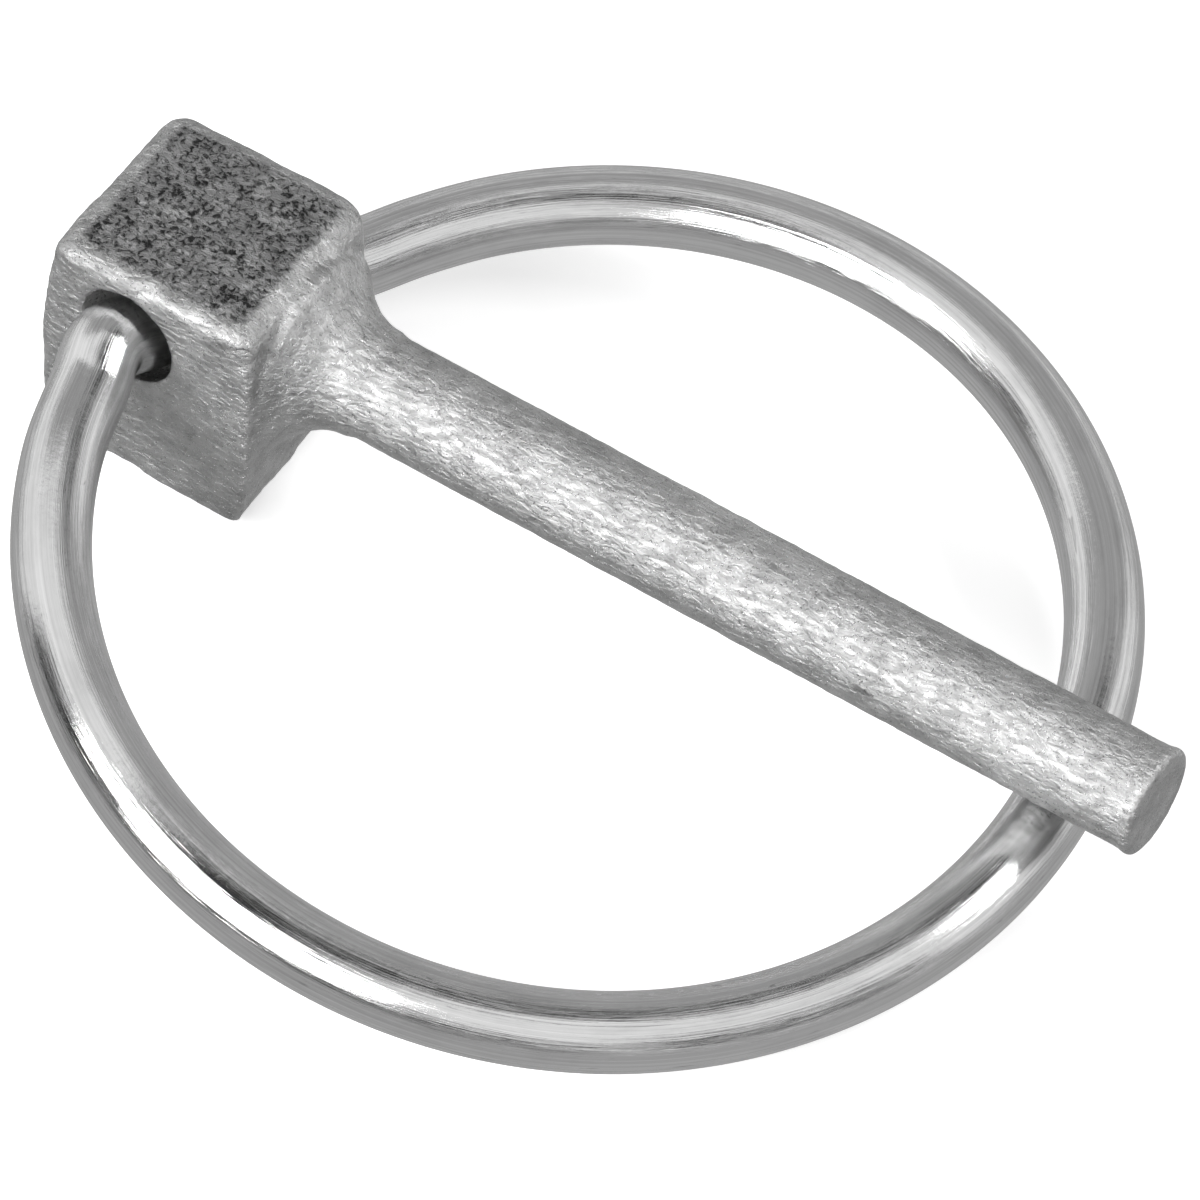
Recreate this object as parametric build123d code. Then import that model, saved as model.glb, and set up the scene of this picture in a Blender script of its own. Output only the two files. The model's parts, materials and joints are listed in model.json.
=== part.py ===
from build123d import *
from math import asin, cos, degrees, pi, radians, sin, tan
import os

# Lynch pin: a forged pin with a block head and a sprung wire ring hinged through the head.
# Millimetres. +X runs along the shank to its tip, +Y runs across the head and +Z is up.
# The pieces are drawn with the head's front face at x = 0, then moved back by SHANK_START,
# so that the origin is on the shank's axis where its plain round length starts.

# Shank
SHANK_D = 4.5
SHANK_LENGTH = 40.0  # from the head's front face to the tip
PLAIN_LENGTH = 30.0  # round length in front of the neck, clear of the closed ring
TIP_TAPER = 0.04  # how much the radius drops from there to the tip
NECK_FILLET = 2.0
TIP_CHAMFER = 0.15

# Head
HEAD_LENGTH = 9.3
HEAD_WIDTH = 9.2
HEAD_ABOVE = 4.5  # from the shank's axis to the top face
HEAD_BELOW = 6.9  # from the shank's axis to the bottom face
HEAD_CROWN = 0.45  # bulge of the front and back faces at the parting line
CORNER_ROUND = 1.1  # upright edges
RIM_ROUND = 0.8  # edges round the top and bottom faces

# Hinge: the wire's two ends lie on one line through the head, which slopes across it
WIRE_D = 3.25
HOLE_CLEARANCE = 1.0  # hole diameter over wire diameter
HOLE_RISE = 0.1  # hole axis above the wire's axis, so the wire lies low in its hole
HINGE_BACK = 5.6  # hinge line behind the head's front face, where it leaves the -Y side
HINGE_UP = 1.15  # hinge line above the shank's axis, where it leaves the -Y side
HINGE_STEP = 1.6  # how much further forward the hinge line leaves the +Y side
HINGE_DROP = 4.2  # how much lower the hinge line leaves the +Y side
STUB_LENGTH = 3.4  # wire end inside the head, from its side face
BEND_OUT = 1.2  # where each wire end starts to bend off the hinge line, outside the side face

# Ring: a polar curve about its own centre, lifted at one end and dropped at the other
RING_RADIUS = 20.2  # to the middle of the wire, at the shank's tip
RING_BULGE = 0.9  # extra radius across the shank
RING_REACH = 15.3  # ring centre in front of the head's front face
RING_SIDE = -2.3  # ring centre beside the shank's axis
RING_TILT = 3.7  # degrees that the ring's plane drops towards the tip
END_LIFT = 3.2  # half the height between the ring's two ends
END_SPREAD = 1.0  # half the difference in radius between the two ends
SEAT_GAP = 0.2  # between the closed ring and the underside of the shank
RING_STEP = 9.0  # degrees between the points of the wire's path
NEAR_BEND = 12.0  # degrees of ring over which the wire bends into its -Y hole
FAR_BEND = 11.0  # degrees of ring over which the wire bends into its +Y hole
ARC_SHARE = 0.45  # share of the shorter run that each arc of the path takes up

SHANK_START = HEAD_CROWN + NECK_FILLET
HALF_WIDTH = HEAD_WIDTH / 2
HINGE_NEAR = Vector(-HINGE_BACK, -HALF_WIDTH, HINGE_UP)
HINGE_FAR = Vector(-HINGE_BACK + HINGE_STEP, HALF_WIDTH, HINGE_UP - HINGE_DROP)
HINGE_AXIS = (HINGE_FAR - HINGE_NEAR).normalized()


def head():
    """The forged block: front and back faces crowned, all edges rounded."""
    middle = (HEAD_ABOVE - HEAD_BELOW) / 2
    top, bottom = HEAD_ABOVE, -HEAD_BELOW
    back = -HEAD_LENGTH
    with BuildPart() as block:
        with BuildSketch(Plane.XZ.offset(-HALF_WIDTH)):
            with BuildLine():
                Line((back, top), (0, top))
                ThreePointArc((0, top), (HEAD_CROWN, middle), (0, bottom))
                Line((0, bottom), (back, bottom))
                ThreePointArc((back, bottom), (back - HEAD_CROWN, middle), (back, top))
            make_face()
        extrude(amount=HEAD_WIDTH)
        sides = [e for e in block.edges() if e.length < HEAD_WIDTH * 1.5 and e.geom_type == GeomType.CIRCLE]
        fillet(sides, CORNER_ROUND)
        rims = block.faces().sort_by(Axis.Z)
        fillet(rims[-1].edges() + rims[0].edges(), RIM_ROUND)
    return block.part


def shank():
    """The round shank, running out of the head in a concave neck."""
    radius = SHANK_D / 2
    root = radius + NECK_FILLET
    inside = -HEAD_LENGTH / 2
    with BuildPart() as turned:
        with BuildSketch(Plane.XZ):
            with BuildLine():
                Polyline((inside, 0), (SHANK_LENGTH, 0), (SHANK_LENGTH, radius - TIP_TAPER))
                Line((SHANK_LENGTH, radius - TIP_TAPER), (SHANK_START + PLAIN_LENGTH, radius))
                Line((SHANK_START + PLAIN_LENGTH, radius), (SHANK_START, radius))
                RadiusArc((SHANK_START, radius), (HEAD_CROWN, root), NECK_FILLET)
                Polyline((HEAD_CROWN, root), (inside, root), (inside, 0))
            make_face()
        revolve(axis=Axis.X)
        tip = turned.faces().sort_by(Axis.X)[-1]
        chamfer(tip.edges(), TIP_CHAMFER)
    return turned.part


def pin():
    """Head, neck and shank are one forging, with the ring's hole bored through the head."""
    rise = Vector(0, 0, HOLE_RISE)
    start = HINGE_NEAR + rise - HINGE_AXIS * HEAD_WIDTH
    bore = Solid.make_cylinder(
        (WIRE_D + HOLE_CLEARANCE) / 2, HEAD_WIDTH * 3, Plane(origin=start, z_dir=HINGE_AXIS)
    )
    return head() + shank() - bore


def ring_point(angle):
    """A point of the free ring; angle 0 is under the tip and the ends are near +pi and -pi."""
    opening = angle / pi * cos(angle)
    bulge = RING_BULGE * sin(angle) * angle / (pi / 2)
    radius = RING_RADIUS + bulge + END_SPREAD * opening
    tilt = radians(RING_TILT)
    along = radius * cos(angle)
    lift = END_LIFT * opening
    seat = -(SHANK_D + WIRE_D) / 2 - SEAT_GAP + RING_RADIUS * sin(tilt)
    return Vector(
        RING_REACH + along * cos(tilt) + lift * sin(tilt),
        RING_SIDE + radius * sin(angle),
        seat - along * sin(tilt) + lift * cos(tilt),
    )


def ease(share):
    """Smooth step from 0 to 1."""
    share = min(max(share, 0), 1)
    return share * share * (3 - 2 * share)


def ring_path():
    """The wire's centre line, from its end in the -Y side of the head round to the other end."""
    near = -pi + asin((HALF_WIDTH + RING_SIDE) / (RING_RADIUS + END_SPREAD))
    far = pi - asin((HALF_WIDTH - RING_SIDE) / (RING_RADIUS - END_SPREAD))
    near_shift = HINGE_NEAR - ring_point(near)
    far_shift = HINGE_FAR - ring_point(far)
    steps = round(degrees(far - near) / RING_STEP)
    points = [HINGE_NEAR + HINGE_AXIS * STUB_LENGTH, HINGE_NEAR - HINGE_AXIS * BEND_OUT]
    for step in range(1, steps):
        angle = near + (far - near) * step / steps
        near_share = ease(1 - degrees(angle - near) / NEAR_BEND)
        far_share = ease(1 - degrees(far - angle) / FAR_BEND)
        points.append(ring_point(angle) + near_shift * near_share + far_shift * far_share)
    points += [HINGE_FAR + HINGE_AXIS * BEND_OUT, HINGE_FAR - HINGE_AXIS * STUB_LENGTH]
    return points


def ring():
    """The round wire, swept along short runs joined by tangent arcs."""
    points = ring_path()
    radii = []
    for before, point, after in zip(points, points[1:], points[2:]):
        half_turn = radians((point - before).get_angle(after - point)) / 2
        shorter = min((point - before).length, (after - point).length)
        radii.append(ARC_SHARE * shorter / tan(half_turn))
    path = FilletPolyline(*points, radius=radii)
    wire = sweep(Plane(origin=path @ 0, z_dir=path % 0) * Circle(WIRE_D / 2), path=path)
    print("ring: radii", round(min(radii), 1), "to", round(max(radii), 1),
          "volume share", round(wire.volume / (path.length * pi * WIRE_D**2 / 4), 4))
    return wire


def main():
    os.makedirs("parts", exist_ok=True)
    to_origin = Pos(-SHANK_START, 0, 0)
    export_step(to_origin * pin(), "parts/pin.step")
    export_step(to_origin * ring(), "parts/ring.step")
    through = HINGE_NEAR - Vector(SHANK_START, 0, 0)
    print("hinge axis", [round(v, 4) for v in HINGE_AXIS], "through", [round(v, 3) for v in through])


main()
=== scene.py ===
import json
import math

import bmesh
import bpy
import numpy as np
from mathutils import Matrix, Vector, noise


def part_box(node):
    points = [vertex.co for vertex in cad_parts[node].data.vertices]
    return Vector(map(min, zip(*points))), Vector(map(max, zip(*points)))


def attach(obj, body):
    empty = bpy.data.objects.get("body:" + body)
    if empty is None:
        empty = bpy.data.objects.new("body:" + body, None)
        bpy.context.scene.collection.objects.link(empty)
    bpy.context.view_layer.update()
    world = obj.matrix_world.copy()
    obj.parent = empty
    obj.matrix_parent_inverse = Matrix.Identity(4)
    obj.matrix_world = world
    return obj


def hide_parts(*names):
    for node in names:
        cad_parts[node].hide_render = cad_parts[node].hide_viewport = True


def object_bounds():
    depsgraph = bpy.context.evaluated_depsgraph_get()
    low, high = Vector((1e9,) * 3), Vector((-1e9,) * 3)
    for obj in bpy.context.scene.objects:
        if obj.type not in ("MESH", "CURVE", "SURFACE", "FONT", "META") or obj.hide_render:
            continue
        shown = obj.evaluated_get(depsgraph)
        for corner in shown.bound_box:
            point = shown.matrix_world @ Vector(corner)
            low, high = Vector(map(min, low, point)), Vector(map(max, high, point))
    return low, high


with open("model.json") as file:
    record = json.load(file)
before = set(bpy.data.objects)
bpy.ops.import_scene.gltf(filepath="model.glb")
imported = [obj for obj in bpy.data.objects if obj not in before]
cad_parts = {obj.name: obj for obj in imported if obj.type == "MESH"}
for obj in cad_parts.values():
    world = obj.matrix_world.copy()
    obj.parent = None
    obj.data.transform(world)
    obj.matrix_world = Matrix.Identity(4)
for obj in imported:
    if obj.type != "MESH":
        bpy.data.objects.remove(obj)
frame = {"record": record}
CAD_LOW, CAD_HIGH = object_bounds()

MM = 0.001
PIN_LOW, PIN_HIGH = (Vector(corner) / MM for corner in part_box("pin"))
HINGE = frame["record"]["behaviour"]["joints"][0]
SHANK = frame["record"]["mounts"][0]

# Pin, in millimetres, in the frame's own axes
SHANK_R = SHANK["dims"]["r_mm"]
SHANK_END = PIN_HIGH.x
CROWN = 0.45  # bulge of the head's front and back faces
NECK = 2.0  # concave radius where the shank leaves the head
NECK_LENGTH = 2.9  # visible length of the rough neck
NECK_RISE = 2.0  # how far the neck stands out from the shank at the head
NECK_STEP = 0.12  # small ridge where the neck meets the shank
HEAD_FRONT = -(CROWN + NECK)
HEAD_BACK = PIN_LOW.x + CROWN
HEAD_MIDDLE = Vector(((HEAD_FRONT + HEAD_BACK) / 2, 0, (PIN_LOW.z + PIN_HIGH.z) / 2))
HEAD_HALF = Vector(((HEAD_FRONT - HEAD_BACK) / 2, PIN_HIGH.y, (PIN_HIGH.z - PIN_LOW.z) / 2))
CORNER_ROUND = 1.25
SHARP_ROUND = 0.18  # upright front edge of the trimmed side
TRIM_ROUND = 0.6  # top and bottom edges of the trimmed side
RIM_ROUND = 0.8
REMESH = 0.13  # size of the forged mesh's faces
TIP_LIP = 0.09  # height of the burr round the tip
TIP_LIP_LENGTH = 0.55

# Ring, in millimetres: the wire's centre line is the one that the solid follows
WIRE_R = 1.625
HINGE_NEAR = Vector(HINGE["pos_m"]) / MM
HINGE_AXIS = Vector(HINGE["axis"]).normalized()
HINGE_FAR = HINGE_NEAR + HINGE_AXIS * (2 * HEAD_HALF.y / HINGE_AXIS.y)
HOLE_R = 2.125
HOLE_RISE = 0.1
STUB_LENGTH = 3.4
BEND_OUT = 1.2
RING_RADIUS = 20.2
RING_BULGE = 0.9
RING_CENTRE = Vector((15.3 + HEAD_FRONT, -2.3))
RING_TILT = math.radians(3.7)
END_LIFT = 3.2
END_SPREAD = 1.0
SEAT_GAP = 0.2
NEAR_BEND = math.radians(12)
FAR_BEND = math.radians(11)
RING_RUNS = 480
WIRE_SIDES = 48

# Camera: it looks at a point level with the shank's axis, from far away through a long lens
LOOK_AT = Vector((14.19, -4.06, 0))
CAMERA_FROM = Vector((173.2, -302.7, 422.1))
CAMERA_ROLL = math.radians(5.75)
CAMERA_LENS = 411.2
SENSOR = 36.0

# Light
WORLD_LEVEL = 0.45  # what lights the matt surfaces; mirrors and the camera see white
FLOOR_LIFT = 0.5
FLOOR_HEIGHT = CAD_LOW.z / MM - 0.2


def ease(share):
    """Smooth step from 0 to 1, for numbers or arrays."""
    share = np.clip(share, 0, 1)
    return share * share * (3 - 2 * share)


# ---------------------------------------------------------------- materials


def new_material(name):
    """An empty node material and its shader."""
    material = bpy.data.materials.new(name)
    material.use_nodes = True
    shader = material.node_tree.nodes["Principled BSDF"]
    return material, shader


class Graph:
    """Short calls for the nodes that the two metals share."""

    def __init__(self, material):
        self.tree = material.node_tree

    def link(self, source, target):
        self.tree.links.new(source, target)

    def coordinates(self, output, scale=(1, 1, 1)):
        source = self.tree.nodes.new("ShaderNodeTexCoord")
        mapping = self.tree.nodes.new("ShaderNodeMapping")
        mapping.inputs["Scale"].default_value = scale
        self.link(source.outputs[output], mapping.inputs["Vector"])
        return mapping.outputs["Vector"]

    def noise(self, vector, scale, detail=4.0, rough=0.55, distortion=0.0):
        node = self.tree.nodes.new("ShaderNodeTexNoise")
        node.inputs["Scale"].default_value = scale
        node.inputs["Detail"].default_value = detail
        node.inputs["Roughness"].default_value = rough
        node.inputs["Distortion"].default_value = distortion
        self.link(vector, node.inputs["Vector"])
        return node.outputs["Fac"]

    def spread(self, value, low, high, to_low=0.0, to_high=1.0):
        node = self.tree.nodes.new("ShaderNodeMapRange")
        node.inputs["From Min"].default_value = low
        node.inputs["From Max"].default_value = high
        node.inputs["To Min"].default_value = to_low
        node.inputs["To Max"].default_value = to_high
        self.link(value, node.inputs["Value"])
        return node.outputs["Result"]

    def math(self, operation, first, second):
        node = self.tree.nodes.new("ShaderNodeMath")
        node.operation = operation
        for socket, value in zip(node.inputs, (first, second)):
            if isinstance(value, (int, float)):
                socket.default_value = value
            else:
                self.link(value, socket)
        return node.outputs["Value"]

    def grey(self, value, dark, light):
        """A grey between two levels, by a value from 0 to 1."""
        node = self.tree.nodes.new("ShaderNodeMix")
        node.data_type = "RGBA"
        node.inputs["A"].default_value = (dark, dark, dark, 1)
        node.inputs["B"].default_value = (light, light, light, 1)
        self.link(value, node.inputs["Factor"])
        return node.outputs["Result"]

    def attribute(self, name):
        node = self.tree.nodes.new("ShaderNodeAttribute")
        node.attribute_name = name
        return node.outputs["Fac"]

    def bump(self, height, distance, strength=1.0, after=None):
        node = self.tree.nodes.new("ShaderNodeBump")
        node.inputs["Distance"].default_value = distance
        node.inputs["Strength"].default_value = strength
        self.link(height, node.inputs["Height"])
        if after is not None:
            self.link(after, node.inputs["Normal"])
        return node.outputs["Normal"]


def forged_steel():
    """Plated forging: rough-skinned, with pits where the top attribute is 1; there the colour is darker too,
    a painted shade of the top face and of its pits.
    """
    material, shader = new_material("forged_skin")
    g = Graph(material)
    where = g.coordinates("Object")
    along = g.coordinates("Object", (0.45, 1, 1))
    top = g.attribute("pitted")
    blotch = g.noise(where, 900, 3)
    speck = g.noise(along, 3600, 6, 0.65, 0.6)
    fine = g.noise(where, 7000, 4, 0.6)
    pits = g.spread(g.noise(where, 4300, 4, 0.6, 0.5), 0.47, 0.62)
    pits_with_painted_shade = g.math("MULTIPLY", pits, top)
    dark_specks = g.spread(speck, 0.56, 0.70)
    shade = g.math("SUBTRACT", g.spread(blotch, 0.3, 0.7, 0.62, 0.98), g.math("MULTIPLY", dark_specks, 0.30))
    # Painted shade: the top face is made darker than the sides, standing in for the darker light it
    # reflects.
    shade = g.math("SUBTRACT", shade, g.math("MULTIPLY", top, 0.34))
    # Painted shade: the pits are made darker, as shade in their hollows.
    shade = g.math("SUBTRACT", shade, g.math("MULTIPLY", pits_with_painted_shade, 0.45))
    shade = g.math("ADD", shade, g.math("MULTIPLY", g.attribute("brushed"), 0.30))
    g.link(g.grey(shade, 0.03, 0.56), shader.inputs["Base Color"])
    gloss = g.spread(fine, 0.3, 0.7, 0.22, 0.42)
    g.link(g.math("ADD", gloss, g.math("MULTIPLY", top, 0.12)), shader.inputs["Roughness"])
    shader.inputs["Metallic"].default_value = 1.0
    coarse = g.bump(speck, 0.00015)
    sharp = g.bump(fine, 0.00003, 1.0, coarse)
    strokes = g.noise(g.coordinates("Object", (1, 0.16, 1.6)), 5200, 4, 0.6)
    streaks = g.math("MULTIPLY", strokes, g.attribute("brushed"))
    brushed = g.bump(streaks, 0.00012, 1.0, sharp)
    deep = g.bump(g.math("SUBTRACT", 1.0, pits_with_painted_shade), 0.00016, 1.0, brushed)
    g.link(deep, shader.inputs["Normal"])
    return material


def plated_wire():
    """Bright drawn wire: fine lines along it and a few short scratches."""
    material, shader = new_material("drawn_wire")
    g = Graph(material)
    lines = g.noise(g.coordinates("UV", (3.0, 42.0, 1)), 1.0, 5, 0.7)
    smear = g.noise(g.coordinates("UV", (34.0, 9.0, 1)), 1.0, 4, 0.6)
    grit = g.noise(g.coordinates("Object"), 3200, 4, 0.6)
    scratch = g.spread(g.noise(g.coordinates("UV", (60.0, 30.0, 1)), 1.0, 2, 0.5, 1.2), 0.70, 0.76)
    shade = g.spread(lines, 0.25, 0.75, 0.55, 0.95)
    shade = g.math("SUBTRACT", shade, g.math("MULTIPLY", g.spread(smear, 0.45, 0.7), 0.12))
    shade = g.math("SUBTRACT", shade, g.math("MULTIPLY", scratch, 0.25))
    g.link(g.grey(shade, 0.10, 0.88), shader.inputs["Base Color"])
    haze = g.math("MULTIPLY", g.spread(grit, 0.4, 0.7), 0.04)
    gloss = g.math("ADD", g.spread(smear, 0.3, 0.7, 0.06, 0.12), haze)
    g.link(gloss, shader.inputs["Roughness"])
    shader.inputs["Metallic"].default_value = 1.0
    drawn = g.bump(lines, 0.00003)
    fine = g.bump(grit, 0.000008, 1.0, drawn)
    g.link(fine, shader.inputs["Normal"])
    return material


# ------------------------------------------------------------------- pieces


def add_object(name, bm):
    """A mesh object from a bmesh, in metres."""
    mesh = bpy.data.meshes.new(name)
    bm.to_mesh(mesh)
    bm.free()
    made = bpy.data.objects.new(name, mesh)
    bpy.context.scene.collection.objects.link(made)
    return made


def edge_rounds(p):
    """Edge radii along X, Y and Z at a point of the block: the trimmed -Y side has the sharper edges."""
    side = CORNER_ROUND
    if p.y < 0:
        below = float(ease((HEAD_HALF.z - 0.9 - p.z) / 1.4))
        sharp = below if p.x > 0 else 0.45 * below
        side = CORNER_ROUND + (SHARP_ROUND - CORNER_ROUND) * sharp
    across = min(side, TRIM_ROUND) if p.y < 0 else side
    return Vector((side, across, RIM_ROUND))


def head_block():
    """The block: a fine cube drawn in to rounded edges, with crowned front and back faces."""
    bm = bmesh.new()
    bmesh.ops.create_cube(bm, size=2)
    bmesh.ops.subdivide_edges(bm, edges=bm.edges[:], cuts=28, use_grid_fill=True)
    for vertex in bm.verts:
        p = Vector([c * h for c, h in zip(vertex.co, HEAD_HALF)])
        rounds = edge_rounds(p)
        core = HEAD_HALF - rounds
        inner = Vector([max(-c, min(c, v)) for c, v in zip(core, p)])
        out = Vector([(v - i) / r for v, i, r in zip(p, inner, rounds)])
        if out.length > 0:
            p = inner + Vector([o * r for o, r in zip(out.normalized(), rounds)])
        share = max(-1, min(1, p.x / HEAD_HALF.x * 1.2))
        p.x += CROWN * share * (1 - (p.z / HEAD_HALF.z) ** 2)
        vertex.co = (p + HEAD_MIDDLE) * MM
    return bm


def shank_profile():
    """(x, radius) of the turned outline, from inside the head to the middle of the tip."""
    root = HEAD_FRONT + CROWN
    outline = [(HEAD_MIDDLE.x, 0.0), (HEAD_MIDDLE.x, SHANK_R + NECK_RISE)]
    for step in range(17):
        share = step / 16
        rise = NECK_STEP + (NECK_RISE - NECK_STEP) * (1 - share) ** 2.2
        outline.append((root + NECK_LENGTH * share, SHANK_R + rise))
    outline.append((root + NECK_LENGTH + 0.25, SHANK_R))
    outline += [(SHANK_END * step / 60, SHANK_R) for step in range(3, 59)]
    lip = SHANK_END - TIP_LIP_LENGTH
    outline += [(lip, SHANK_R), (lip + 0.2, SHANK_R + TIP_LIP), (SHANK_END - 0.15, SHANK_R + TIP_LIP)]
    outline += [(SHANK_END, SHANK_R - 0.06), (SHANK_END - 0.02, SHANK_R * 0.5), (SHANK_END, 0.0)]
    return outline


def turned(outline, sides=72):
    """A closed solid of revolution round the X axis."""
    bm = bmesh.new()
    rings = []
    for x, radius in outline:
        if radius == 0:
            rings.append([bm.verts.new(Vector((x, 0, 0)) * MM)])
            continue
        turns = [2 * math.pi * k / sides for k in range(sides)]
        circle = [Vector((x, radius * math.cos(t), radius * math.sin(t))) * MM for t in turns]
        rings.append([bm.verts.new(point) for point in circle])
    for before, after in zip(rings, rings[1:]):
        for k in range(sides):
            nxt = (k + 1) % sides
            first = [before[k % len(before)], before[nxt % len(before)]]
            second = [after[nxt % len(after)], after[k % len(after)]]
            unique = list(dict.fromkeys(first + second))
            bm.faces.new(unique)
    bmesh.ops.recalc_face_normals(bm, faces=bm.faces[:])
    return bm


def cutter(radius, start, direction, length):
    """A round bar to cut a hole with."""
    bm = bmesh.new()
    bmesh.ops.create_cone(bm, cap_ends=True, segments=96, radius1=radius, radius2=radius, depth=length)
    turn = Vector((0, 0, 1)).rotation_difference(direction).to_matrix().to_4x4()
    bmesh.ops.transform(bm, matrix=Matrix.Translation(start) @ turn, verts=bm.verts)
    bmesh.ops.scale(bm, vec=(MM,) * 3, verts=bm.verts)
    return add_object("cutter", bm)


def apply_modifiers(piece):
    """Keeps what the modifiers make and drops them."""
    depsgraph = bpy.context.evaluated_depsgraph_get()
    mesh = bpy.data.meshes.new_from_object(piece.evaluated_get(depsgraph))
    piece.modifiers.clear()
    piece.data = mesh


def positions(mesh):
    flat = np.empty(len(mesh.vertices) * 3)
    mesh.vertices.foreach_get("co", flat)
    return flat.reshape(-1, 3) / MM


def normals(mesh):
    flat = np.empty(len(mesh.vertices) * 3)
    mesh.vertices.foreach_get("normal", flat)
    return flat.reshape(-1, 3)


def octaves(point, scale, depth):
    """Fractal noise at a point in millimetres, from about -1 to 1."""
    return noise.fractal(Vector(point) * scale, 0.9, 2.0, depth)


def forge_skin(mesh):
    """Moves the points along their normals: orange peel, pits on top, burrs on the head's edges."""
    at, normal = positions(mesh), normals(mesh)
    on_head = ease((HEAD_FRONT + 0.2 - at[:, 0]) / 0.6)
    top = on_head * ease((normal[:, 2] - 0.75) / 0.2) * (at[:, 2] > HEAD_MIDDLE.z)
    peel = np.array([octaves(p, 0.9, 3) for p in at])
    grain = np.array([octaves(p * (0.7, 1, 1), 2.6, 3) for p in at])
    pits = np.array([octaves(p + 40, 1.9, 4) for p in at])
    move = 0.016 * peel + 0.022 * grain
    move -= top * 0.05 * ease((pits - 0.05) / 0.5)
    wave = np.array([octaves(p + 80, 0.28, 2) for p in at])
    move += on_head * 0.09 * wave
    move += burrs(at) * (0.6 + 0.5 * grain)
    tip = ease((at[:, 0] - SHANK_END + 0.5) / 0.4)
    move = move * (1 - 0.4 * tip)
    bored = np.abs(distance_to_hinge(at) - HOLE_R) < 0.15
    move[bored & (np.abs(at[:, 1]) < HEAD_HALF.y - 0.3)] = 0
    mesh.vertices.foreach_set("co", ((at + normal * move[:, None]) * MM).ravel())
    in_plan = np.minimum(HEAD_HALF.x - np.abs(at[:, 0] - HEAD_MIDDLE.x), HEAD_HALF.y - np.abs(at[:, 1]))
    front = on_head * ease((normal[:, 0] - 0.72) / 0.15) * (normal[:, 0] > 0)
    # This top attribute also carries the painted shade that the material puts on the top face and in its
    # pits.
    for name, values in (("pitted", top * ease((in_plan - 0.55) / 0.5)), ("brushed", front)):
        mesh.attributes.new(name, "FLOAT", "POINT").data.foreach_set("value", values)
    mesh.update()


def burrs(at):
    """Thin raised lines where the dies met and where the -Y face was trimmed, in millimetres."""
    low = HEAD_MIDDLE - HEAD_HALF
    high = HEAD_MIDDLE + HEAD_HALF
    front = np.exp(-(((at[:, 0] - high.x - 0.1) / 0.22) ** 2) - (((at[:, 1] - low.y - 0.2) / 0.25) ** 2))
    upper = np.exp(-(((at[:, 2] - high.z + 0.35) / 0.2) ** 2) - (((at[:, 1] - low.y - 0.15) / 0.3) ** 2))
    return 0.16 * front + 0.10 * upper


def distance_to_hinge(at):
    """Distance of each point from the middle line of the ring's hole."""
    start = HINGE_NEAR + Vector((0, 0, HOLE_RISE))
    out = at - np.array(start)
    axis = np.array(HINGE_AXIS)
    return np.linalg.norm(out - np.outer(out @ axis, axis), axis=1)


def forged_pin():
    """Head, neck and shank in one skin, with the ring's hole through the head."""
    bm = head_block()
    shank = bpy.data.meshes.new("shank")
    turned_shank = turned(shank_profile())
    turned_shank.to_mesh(shank)
    turned_shank.free()
    bm.from_mesh(shank)
    piece = add_object("forged_pin", bm)
    merge = piece.modifiers.new("merge", "REMESH")
    merge.mode = "VOXEL"
    merge.voxel_size = REMESH * MM
    apply_modifiers(piece)
    length = 4 * HEAD_HALF.y
    middle = (HINGE_NEAR + HINGE_FAR) / 2 + Vector((0, 0, HOLE_RISE))
    bar = cutter(HOLE_R, middle, HINGE_AXIS, length)
    cut = piece.modifiers.new("cut", "BOOLEAN")
    cut.operation = "DIFFERENCE"
    cut.object = bar
    merge = piece.modifiers.new("merge", "REMESH")
    merge.mode = "VOXEL"
    merge.voxel_size = REMESH * MM
    soften = piece.modifiers.new("soften", "SMOOTH")
    soften.factor = 0.5
    soften.iterations = 3
    apply_modifiers(piece)
    bpy.data.objects.remove(bar)
    forge_skin(piece.data)
    return piece


def ring_point(angle):
    """A point of the free ring, at an angle from under the tip."""
    opening = angle / math.pi * math.cos(angle)
    bulge = RING_BULGE * math.sin(angle) * angle / (math.pi / 2)
    radius = RING_RADIUS + bulge + END_SPREAD * opening
    along = radius * math.cos(angle)
    lift = END_LIFT * opening
    seat = -SHANK_R - WIRE_R - SEAT_GAP + RING_RADIUS * math.sin(RING_TILT)
    return Vector((
        RING_CENTRE.x + along * math.cos(RING_TILT) + lift * math.sin(RING_TILT),
        RING_CENTRE.y + radius * math.sin(angle),
        seat - along * math.sin(RING_TILT) + lift * math.cos(RING_TILT),
    ))


def wire_line():
    """Evenly spaced points of the wire's middle, from one end in the head to the other."""
    half = HEAD_HALF.y
    near = -math.pi + math.asin((half + RING_CENTRE.y) / (RING_RADIUS + END_SPREAD))
    far = math.pi - math.asin((half - RING_CENTRE.y) / (RING_RADIUS - END_SPREAD))
    near_shift = HINGE_NEAR - ring_point(near)
    far_shift = HINGE_FAR - ring_point(far)
    steps = 40
    line = [HINGE_NEAR + HINGE_AXIS * STUB_LENGTH, HINGE_NEAR + HINGE_AXIS]
    line.append(HINGE_NEAR - HINGE_AXIS * BEND_OUT)
    for step in range(1, steps):
        angle = near + (far - near) * step / steps
        near_share = float(ease(1 - (angle - near) / NEAR_BEND))
        far_share = float(ease(1 - (far - angle) / FAR_BEND))
        line.append(ring_point(angle) + near_shift * near_share + far_shift * far_share)
    line += [HINGE_FAR + HINGE_AXIS * BEND_OUT, HINGE_FAR - HINGE_AXIS, HINGE_FAR - HINGE_AXIS * STUB_LENGTH]
    return smooth_line(line, RING_RUNS)


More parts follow.
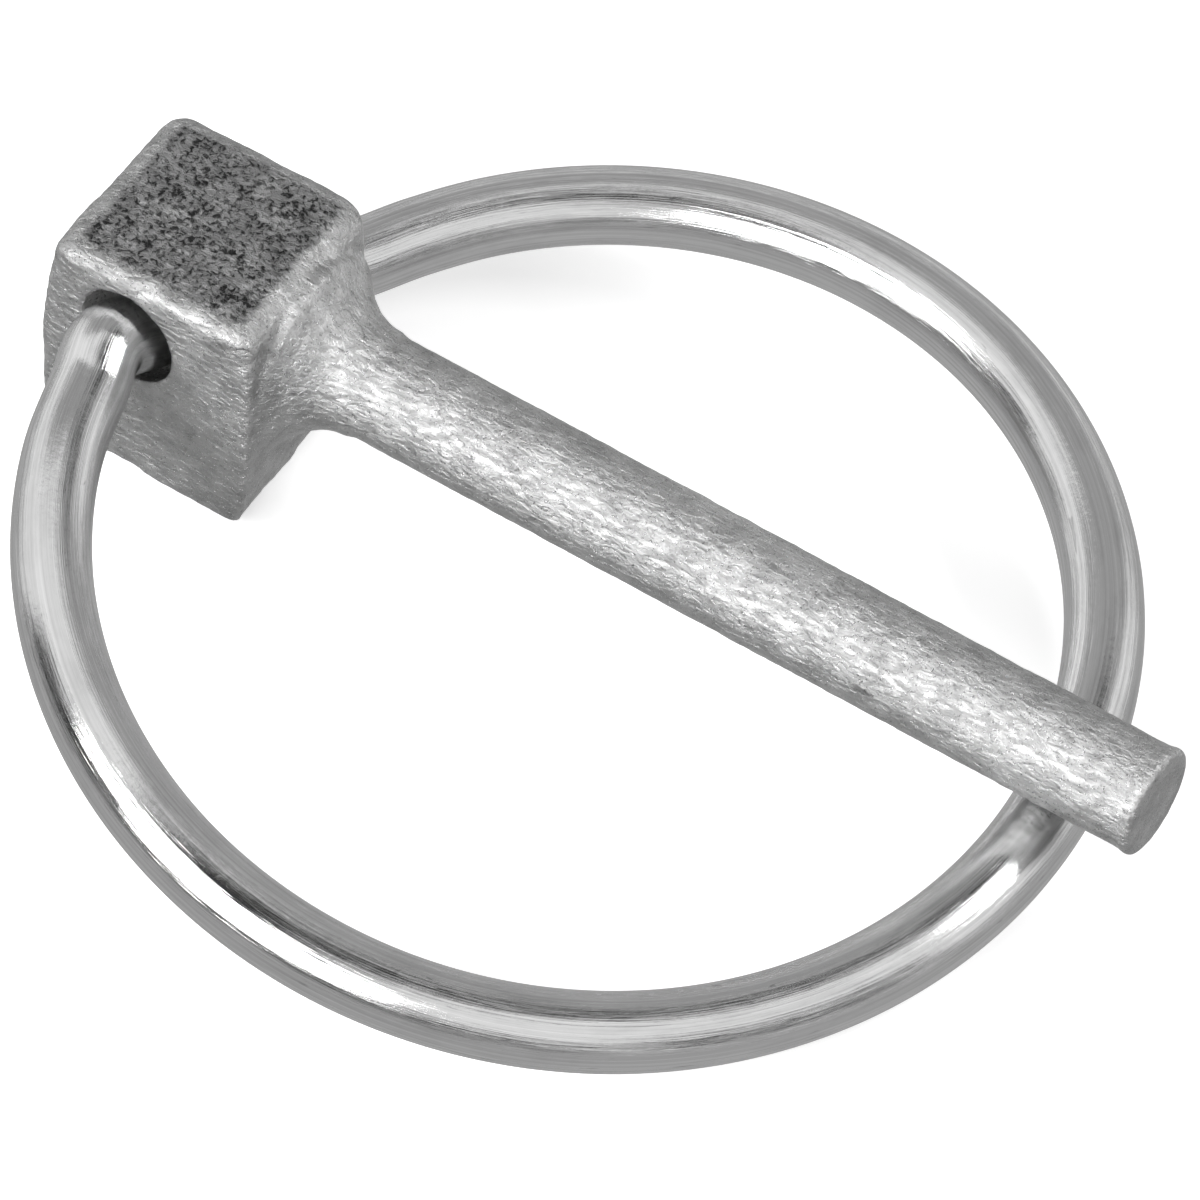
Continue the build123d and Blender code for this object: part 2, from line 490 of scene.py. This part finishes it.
def smooth_line(points, count):
    """Evenly spaced points on the smooth curve through the given ones."""
    points = np.array([tuple(p) for p in points])
    padded = np.vstack([2 * points[0] - points[1], points, 2 * points[-1] - points[-2]])
    fine = []
    for a, b, c, d in zip(padded, padded[1:], padded[2:], padded[3:]):
        for t in np.linspace(0, 1, 24, endpoint=False):
            fine.append(0.5 * (2 * b + (c - a) * t + (2 * a - 5 * b + 4 * c - d) * t**2
                               + (3 * b - a - 3 * c + d) * t**3))
    fine = np.array(fine + [points[-1]])
    run = np.concatenate([[0], np.cumsum(np.linalg.norm(np.diff(fine, axis=0), axis=1))])
    even = np.linspace(0, run[-1], count)
    return np.stack([np.interp(even, run, fine[:, k]) for k in range(3)], axis=1)


def wire_ring():
    """A round tube along the wire's middle, with UVs along and round it and rounded ends."""
    line = wire_line()
    tangent = np.gradient(line, axis=0)
    tangent /= np.linalg.norm(tangent, axis=1)[:, None]
    side = np.cross(tangent[0], (0, 0, 1.0))
    bm = bmesh.new()
    uv = bm.loops.layers.uv.new("UVMap")
    rings = []
    for index, (point, along) in enumerate(zip(line, tangent)):
        side = side - along * side.dot(along)
        side /= np.linalg.norm(side)
        other = np.cross(along, side)
        from_end = min(index, len(line) - 1 - index)
        radius = WIRE_R * (0.86 if from_end == 0 else 1)
        turns = [2 * math.pi * k / WIRE_SIDES for k in range(WIRE_SIDES)]
        rings.append([
            bm.verts.new((point + radius * (math.cos(t) * side + math.sin(t) * other)) * MM) for t in turns
        ])
    for index, (before, after) in enumerate(zip(rings, rings[1:])):
        for k in range(WIRE_SIDES):
            nxt = (k + 1) % WIRE_SIDES
            face = bm.faces.new((before[k], before[nxt], after[nxt], after[k]))
            corners = ((index, k), (index, k + 1), (index + 1, k + 1), (index + 1, k))
            for loop, (run, turn) in zip(face.loops, corners):
                loop[uv].uv = (run / RING_RUNS, turn / WIRE_SIDES)
    bm.faces.new(rings[0][::-1])
    bm.faces.new(rings[-1])
    bmesh.ops.recalc_face_normals(bm, faces=bm.faces[:])
    return add_object("wire_ring", bm)


def finish_piece(piece, material, node):
    """Smooth shading, material, and the node whose place, motion and finish it takes."""
    piece.data.materials.clear()
    piece.data.materials.append(material)
    for face in piece.data.polygons:
        face.use_smooth = True
    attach(piece, node)
    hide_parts(node)


# ------------------------------------------------------------------- studio


def add_camera():
    data = bpy.data.cameras.new("camera")
    data.lens = CAMERA_LENS
    data.sensor_width = SENSOR
    data.clip_start = 0.01
    data.clip_end = 10
    camera = bpy.data.objects.new("camera", data)
    camera.location = CAMERA_FROM * MM
    facing = (LOOK_AT - CAMERA_FROM).to_track_quat("-Z", "Y").to_matrix().to_4x4()
    roll = Matrix.Rotation(CAMERA_ROLL, 4, "Z")
    camera.matrix_world = Matrix.Translation(CAMERA_FROM * MM) @ facing @ roll
    bpy.context.scene.collection.objects.link(camera)
    bpy.context.scene.camera = camera


def softbox(name, direction, distance, size, power):
    """A square area lamp that faces the object."""
    data = bpy.data.lights.new(name, "AREA")
    data.shape = "RECTANGLE"
    data.size, data.size_y = (s * MM for s in size)
    data.energy = power
    lamp = bpy.data.objects.new(name, data)
    middle = Vector((12, 0, 0))
    out = Vector(direction).normalized()
    place = (middle + out * distance) * MM
    lamp.matrix_world = Matrix.Translation(place) @ out.to_track_quat("Z", "Y").to_matrix().to_4x4()
    bpy.context.scene.collection.objects.link(lamp)


def add_card(name, direction, distance, size, level):
    """A grey card beside the object, which only the metal sees."""
    bm = bmesh.new()
    bmesh.ops.create_grid(bm, x_segments=1, y_segments=1, size=0.5)
    bmesh.ops.scale(bm, vec=(size[0] * MM, size[1] * MM, 1), verts=bm.verts)
    card = add_object(name, bm)
    material, shader = new_material(name)
    shader.inputs["Base Color"].default_value = (0, 0, 0, 1)
    shader.inputs["Specular IOR Level"].default_value = 0.0
    shader.inputs["Emission Color"].default_value = (level, level, level, 1)
    shader.inputs["Emission Strength"].default_value = 1.0
    card.data.materials.append(material)
    out = Vector(direction).normalized()
    place = (Vector((12, 0, 0)) + out * distance) * MM
    card.matrix_world = Matrix.Translation(place) @ out.to_track_quat("Z", "Y").to_matrix().to_4x4()
    card.visible_camera = False
    card.visible_shadow = False
    card.visible_diffuse = False


def mirror_or_camera(tree):
    """1 for rays from the camera, from mirrors and through glass, and 0 for the rest."""
    path = tree.nodes.new("ShaderNodeLightPath")
    seen = path.outputs["Is Camera Ray"]
    for name in ("Is Glossy Ray", "Is Transmission Ray"):
        either = tree.nodes.new("ShaderNodeMath")
        either.operation = "MAXIMUM"
        tree.links.new(seen, either.inputs[0])
        tree.links.new(path.outputs[name], either.inputs[1])
        seen = either.outputs["Value"]
    return seen


def add_floor(height):
    bm = bmesh.new()
    bmesh.ops.create_grid(bm, x_segments=1, y_segments=1, size=3)
    bmesh.ops.translate(bm, vec=(0, 0, height), verts=bm.verts)
    floor = add_object("floor", bm)
    material, shader = new_material("floor")
    shader.inputs["Base Color"].default_value = (0.9, 0.9, 0.9, 1)
    shader.inputs["Roughness"].default_value = 0.9
    shader.inputs["Specular IOR Level"].default_value = 0.0
    shader.inputs["Emission Color"].default_value = (1, 1, 1, 1)
    lift = material.node_tree.nodes.new("ShaderNodeMath")
    lift.operation = "MULTIPLY"
    lift.inputs[1].default_value = FLOOR_LIFT
    material.node_tree.links.new(mirror_or_camera(material.node_tree), lift.inputs[0])
    material.node_tree.links.new(lift.outputs["Value"], shader.inputs["Emission Strength"])
    floor.data.materials.append(material)


def add_world():
    """White to the camera and to mirrors, and an even pale light elsewhere."""
    world = bpy.data.worlds.new("studio")
    world.use_nodes = True
    nodes, links = world.node_tree.nodes, world.node_tree.links
    background = nodes["Background"]
    background.inputs["Color"].default_value = (1, 1, 1, 1)
    level = nodes.new("ShaderNodeMapRange")
    level.inputs["To Min"].default_value = WORLD_LEVEL
    level.inputs["To Max"].default_value = 1.0
    links.new(mirror_or_camera(world.node_tree), level.inputs["Value"])
    links.new(level.outputs["Result"], background.inputs["Strength"])
    bpy.context.scene.world = world


def add_studio():
    add_world()
    add_floor(FLOOR_HEIGHT * MM)
    softbox("key", (-0.32, -0.86, 0.52), 220, (200, 90), 0.75)
    softbox("fill", (0.7, 0.5, 0.8), 260, (90, 60), 0.2)
    add_card("floor_card", (0, 0, -1), -FLOOR_HEIGHT - 0.1, (500, 500), 0.46)
    add_card("back_card", (-0.3, 0.75, 0.60), 170, (330, 190), 0.42)
    add_card("top_card", (0.05, -0.02, 1.0), 150, (330, 60), 0.04)
    add_card("front_card", (-0.25, -1.0, 0.08), 130, (420, 46), 0.03)
    add_card("left_card", (-0.68, -0.58, 0.36), 190, (110, 62), 0.02)
    add_card("side_card", (1.0, -0.35, 0.22), 190, (150, 60), 0.06)


def main():
    pin_piece = forged_pin()
    finish_piece(pin_piece, forged_steel(), "pin")
    ring_piece = wire_ring()
    finish_piece(ring_piece, plated_wire(), "ring")
    add_camera()
    add_studio()
    bpy.context.scene.view_settings.view_transform = "Standard"


main()
